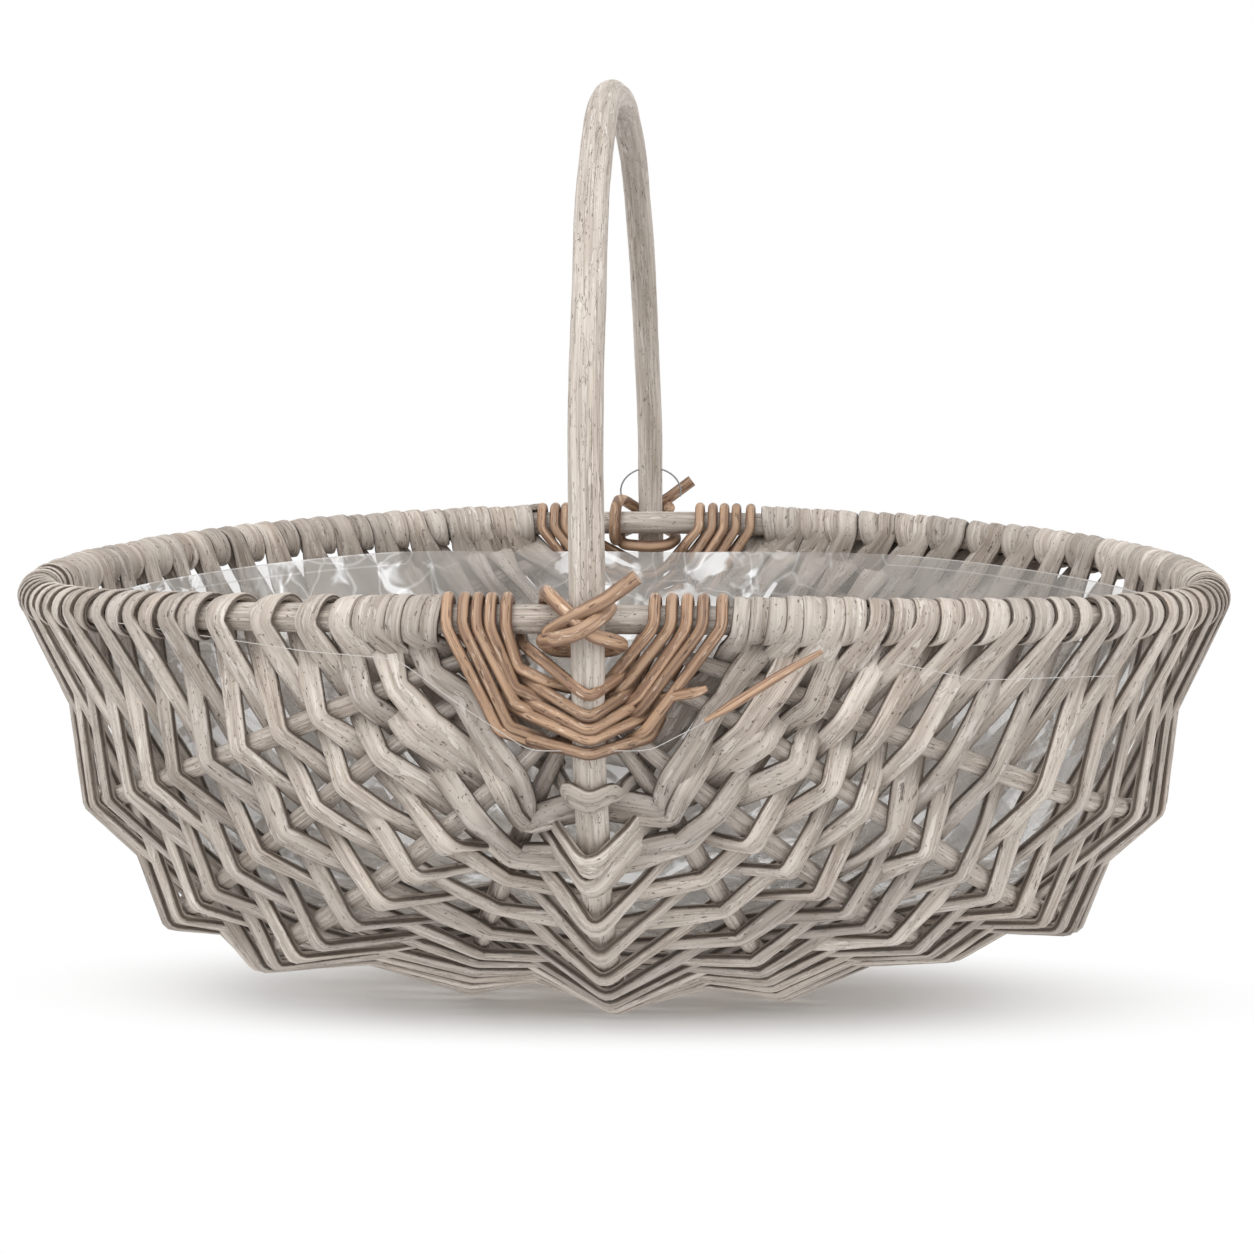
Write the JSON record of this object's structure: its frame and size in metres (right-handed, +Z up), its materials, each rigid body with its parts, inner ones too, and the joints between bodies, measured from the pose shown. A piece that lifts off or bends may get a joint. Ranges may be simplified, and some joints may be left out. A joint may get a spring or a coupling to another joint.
{
  "type": "harvest basket",
  "caption": "Oval ribbed willow basket with a round bottom, a fixed hoop handle, brown ear lashings and a clear film lining.",
  "frame": {"origin": "on the surface the basket stands on, under the middle of its outer box", "axes": "+X along the rim's long way, -Y to the front, +Z up"},
  "size_m": [0.6292, 0.5774, 0.4767],
  "materials": {
    "grey_willow": "peeled willow rods, weathered grey-beige, matt",
    "grey_handle": "thick peeled willow rod, weathered pale grey, matt",
    "brown_willow": "buff brown willow rods, satin",
    "clear_film": "thin clear film, crinkled, glossy"
  },
  "bodies": {
    "root": {"rim_hoop": "grey_willow", "handle_hoop": "grey_handle", "rib_left_1": "grey_willow", "rib_left_2": "grey_willow", "rib_left_3": "grey_willow", "rib_left_4": "grey_willow", "rib_right_1": "grey_willow", "rib_right_2": "grey_willow", "rib_right_3": "grey_willow", "rib_right_4": "grey_willow", "weaver_front_01": "grey_willow", "weaver_front_02": "grey_willow", "weaver_front_03": "grey_willow", "weaver_front_04": "grey_willow", "weaver_front_05": "grey_willow", "weaver_front_06": "grey_willow", "weaver_front_07": "grey_willow", "weaver_front_08": "grey_willow", "weaver_front_09": "grey_willow", "weaver_front_10": "grey_willow", "weaver_back_01": "grey_willow", "weaver_back_02": "grey_willow", "weaver_back_03": "grey_willow", "weaver_back_04": "grey_willow", "weaver_back_05": "grey_willow", "weaver_back_06": "grey_willow", "weaver_back_07": "grey_willow", "weaver_back_08": "grey_willow", "weaver_back_09": "grey_willow", "weaver_back_10": "grey_willow", "ear_lashing_front": "brown_willow", "ear_lashing_back": "brown_willow", "cross_lashing_front": "brown_willow", "cross_lashing_back": "brown_willow", "film_liner": "clear_film"}
  },
  "joints": []
}
